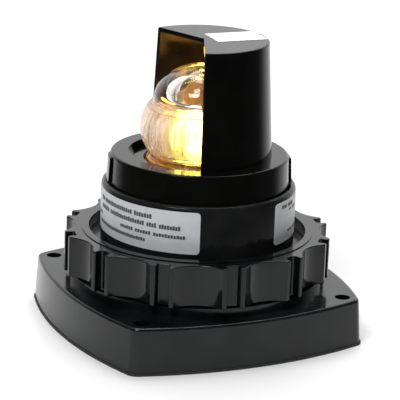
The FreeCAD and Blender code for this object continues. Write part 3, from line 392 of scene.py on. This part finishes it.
def make_materials():
    """One material for each slot, three nodes' own finishes and the grey of the print."""
    m = {
        "satin_black": moulded_black("satin_black", (0.0022, 0.0028, 0.0032), (0.0085, 0.0102, 0.0112),
                                     rough=(0.10, 0.24), ior=1.40, sheen=1.0, wave=0.07, grain=0.2),
        "gloss_black": moulded_black("gloss_black", (0.0022, 0.0022, 0.0020), (0.0042, 0.0042, 0.0038),
                                     rough=(0.06, 0.15), ior=1.33, sheen=0.4, wave=0.04, grain=0.05,
                                     lamplit_inside=True),
        "rubber": plain("rubber", (0.012, 0.012, 0.012), (0.03, 0.03, 0.03), 300, 0.6, 0.8),
        "nylon": plain("nylon", (0.7, 0.68, 0.6), (0.78, 0.76, 0.7), 80, 0.4, 0.55),
        "clear_lens": clear("clear_lens", (0.97, 0.94, 0.92), 1.49, 0.02),
        "amber_glass": glowing_glass("amber_glass"),
        "filament": plain("filament", (1.0, 0.8, 0.4), (1.0, 0.9, 0.6), 200, 0.4, 0.5, 1.0),
        "brass": plain("brass", (0.72, 0.5, 0.2), (0.82, 0.62, 0.3), 150, 0.2, 0.38, 1.0),
        "spring_steel": plain("spring_steel", (0.45, 0.45, 0.45), (0.62, 0.62, 0.62), 400, 0.25, 0.4, 1.0),
        "steel": plain("steel", (0.6, 0.6, 0.6), (0.75, 0.75, 0.75), 300, 0.15, 0.3, 1.0),
        "board": plain("board", (0.1, 0.06, 0.03), (0.16, 0.1, 0.05), 90, 0.5, 0.65),
        "switch_black": plain("switch_black", (0.02, 0.02, 0.02), (0.035, 0.035, 0.035), 300, 0.45, 0.6),
        "switch_white": plain("switch_white", (0.8, 0.8, 0.77), (0.86, 0.86, 0.84), 200, 0.25, 0.35),
        "cell_jacket": plain("cell_jacket", (0.05, 0.08, 0.22), (0.07, 0.11, 0.28), 60, 0.2, 0.35),
        "lead_black": plain("lead_black", (0.01, 0.01, 0.01), (0.02, 0.02, 0.02), 200, 0.35, 0.5),
        "lead_red": plain("lead_red", (0.4, 0.02, 0.02), (0.5, 0.03, 0.03), 200, 0.35, 0.5),
        "label_white": plain("label_white", (0.68, 0.69, 0.715), (0.76, 0.77, 0.79), 140, 0.35, 0.5),
    }
    m["ring_black"] = moulded_black("ring_black", (0.0022, 0.0030, 0.0032), (0.0078, 0.0092, 0.0098),
                                    rough=(0.07, 0.18), ior=1.40, sheen=1.0, wave=0.10, grain=0.1)
    # Painted sheen: the lamp body's black is lighter than the gloss black of the same plastic, for its
    # broader reflection.
    m["body_sheen_black"] = moulded_black("body_sheen_black", (0.008, 0.009, 0.009), (0.016, 0.017, 0.016),
                                    rough=(0.10, 0.24), ior=1.30, sheen=0.35, wave=0.04, grain=0.05)
    m["bright_label"] = printed("bright_label", (0.80, 0.80, 0.81), (0.93, 0.93, 0.93),
                                (0.22, 0.22, 0.23), TOP_PRINT)
    m["print_grey"] = plain("print_grey", (0.05, 0.05, 0.055), (0.10, 0.10, 0.11), 500, 0.5, 0.6)
    return m


# Nodes whose finish differs from their slot's usual one; the lamp body's lighter black is painted sheen
SPECIAL = {"clamp_ring": "ring_black", "lamp_body": "body_sheen_black", "label_top": "bright_label"}


def dress_cad(materials):
    """Every CAD node gets its slot's finished material, or its own from the list above."""
    for part in frame["record"]["subparts"]:
        node = NODES[part["node"]]
        node.data.materials.clear()
        node.data.materials.append(materials[SPECIAL.get(part["node"], part["material_slot"])])


# ---------------------------------------------------------------- shapes

def add_piece(name, vertices, faces, material, sharp=35.0):
    """A mesh piece in millimetres, smooth except along edges sharper than the given angle."""
    mesh = bpy.data.meshes.new(name)
    mesh.from_pydata([Vector(v) * MM for v in vertices], [], faces)
    mesh.validate()
    work = bmesh.new()
    work.from_mesh(mesh)
    bmesh.ops.remove_doubles(work, verts=work.verts, dist=1e-7)
    bmesh.ops.recalc_face_normals(work, faces=work.faces)
    limit = math.radians(sharp)
    for edge in work.edges:
        edge.smooth = len(edge.link_faces) != 2 or edge.calc_face_angle(0) < limit
    for face in work.faces:
        face.smooth = True
    work.to_mesh(mesh)
    work.free()
    mesh.materials.append(material)
    piece = bpy.data.objects.new(name, mesh)
    bpy.context.scene.collection.objects.link(piece)
    return piece


def wrapped_bars(name, lines, radius, material):
    """Lines of print as rows of short blank blocks, wrapped round the body just proud of its label."""
    vertices = []
    faces = []
    pitch = math.degrees(BAR_PITCH / radius)
    for middle, height, words in lines:
        for first, last in words:
            count = max(1, round((last - first) / pitch))
            step = (last - first) / count
            for k in range(count):
                start = first + step * k
                end = start + step * BAR_FILL
                drop = (start - PRINT_LEVEL) * PRINT_SLOPE
                low = middle - height / 2 - drop
                high = low + height * BAR_HEIGHTS[(k + int(first)) % len(BAR_HEIGHTS)]
                base = len(vertices)
                for r in (radius - BAR_SUNK, radius + BAR_PROUD):
                    for a, z in ((start, low), (end, low), (end, high), (start, high)):
                        turn = math.radians(a)
                        vertices.append((r * math.cos(turn), r * math.sin(turn), z))
                for loop in BOX_FACES:
                    faces.append([base + i for i in loop])
    piece = add_piece(name, vertices, faces, material)
    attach(piece, "lamp_head")


# ---------------------------------------------------------------- surroundings

def add_floor():
    """A round pale table."""
    mesh = bpy.data.meshes.new("floor")
    turns = [math.tau * k / FLOOR_POINTS for k in range(FLOOR_POINTS)]
    rim = [(FLOOR_R * math.cos(turn), FLOOR_R * math.sin(turn), 0) for turn in turns]
    mesh.from_pydata(rim, [], [list(range(FLOOR_POINTS))])
    floor = bpy.data.objects.new("floor", mesh)
    bpy.context.scene.collection.objects.link(floor)
    s = Shader("floor")
    s.set(Base_Color=(0.9, 0.9, 0.9, 1), Roughness=0.6)
    floor.data.materials.append(s.material)


def add_world():
    """A white studio wall, bright behind the lantern as the photograph sees it and dim elsewhere."""
    world = bpy.data.worlds.new("studio")
    world.use_nodes = True
    bpy.context.scene.world = world
    tree = world.node_tree
    sky = tree.nodes["Background"]
    sky.inputs["Color"].default_value = (1, 1, 1, 1)
    place = tree.nodes.new("ShaderNodeTexCoord")
    dot = tree.nodes.new("ShaderNodeVectorMath")
    dot.operation = "DOT_PRODUCT"
    dot.inputs[1].default_value = (math.sin(VIEW_AZIMUTH), -math.cos(VIEW_AZIMUTH), 0)
    tree.links.new(place.outputs["Generated"], dot.inputs[0])
    fade = tree.nodes.new("ShaderNodeMapRange")
    fade.interpolation_type = "SMOOTHSTEP"
    fade.inputs["From Min"].default_value = BACKDROP_BRIGHT[0]
    fade.inputs["From Max"].default_value = BACKDROP_DIM[0]
    fade.inputs["To Min"].default_value = BACKDROP_BRIGHT[1]
    fade.inputs["To Max"].default_value = BACKDROP_DIM[1]
    tree.links.new(dot.outputs["Value"], fade.inputs["Value"])
    tree.links.new(fade.outputs["Result"], sky.inputs["Strength"])


def add_glow(name, place, radius, power):
    """The lamp's own amber light where it leaves the lens."""
    lamp = bpy.data.lights.new(name, "POINT")
    lamp.shadow_soft_size = radius
    lamp.energy = power
    lamp.color = GLOW_COLOUR
    glow = bpy.data.objects.new(name, lamp)
    glow.location = place
    glow.visible_camera = False
    bpy.context.scene.collection.objects.link(glow)


def add_softbox(name, place, size, power):
    """A round soft light aimed at the lantern."""
    lamp = bpy.data.lights.new(name, "AREA")
    lamp.shape = "DISK"
    lamp.size = size
    lamp.energy = power
    box = bpy.data.objects.new(name, lamp)
    box.location = place
    box.rotation_euler = (Vector(place) - Vector(SOFTBOX_AIM)).to_track_quat("Z", "Y").to_euler()
    bpy.context.scene.collection.objects.link(box)


add_camera()
MATERIALS = make_materials()
dress_cad(MATERIALS)
add_floor()
add_world()
for softbox in SOFTBOXES:
    add_softbox(*softbox)
for glow in GLOWS:
    add_glow(*glow)
wrapped_bars("main_print", MAIN_PRINT, LABEL_R, MATERIALS["print_grey"])
wrapped_bars("side_print", SIDE_PRINT, LABEL_R, MATERIALS["print_grey"])
bpy.context.scene.view_settings.view_transform = "Standard"
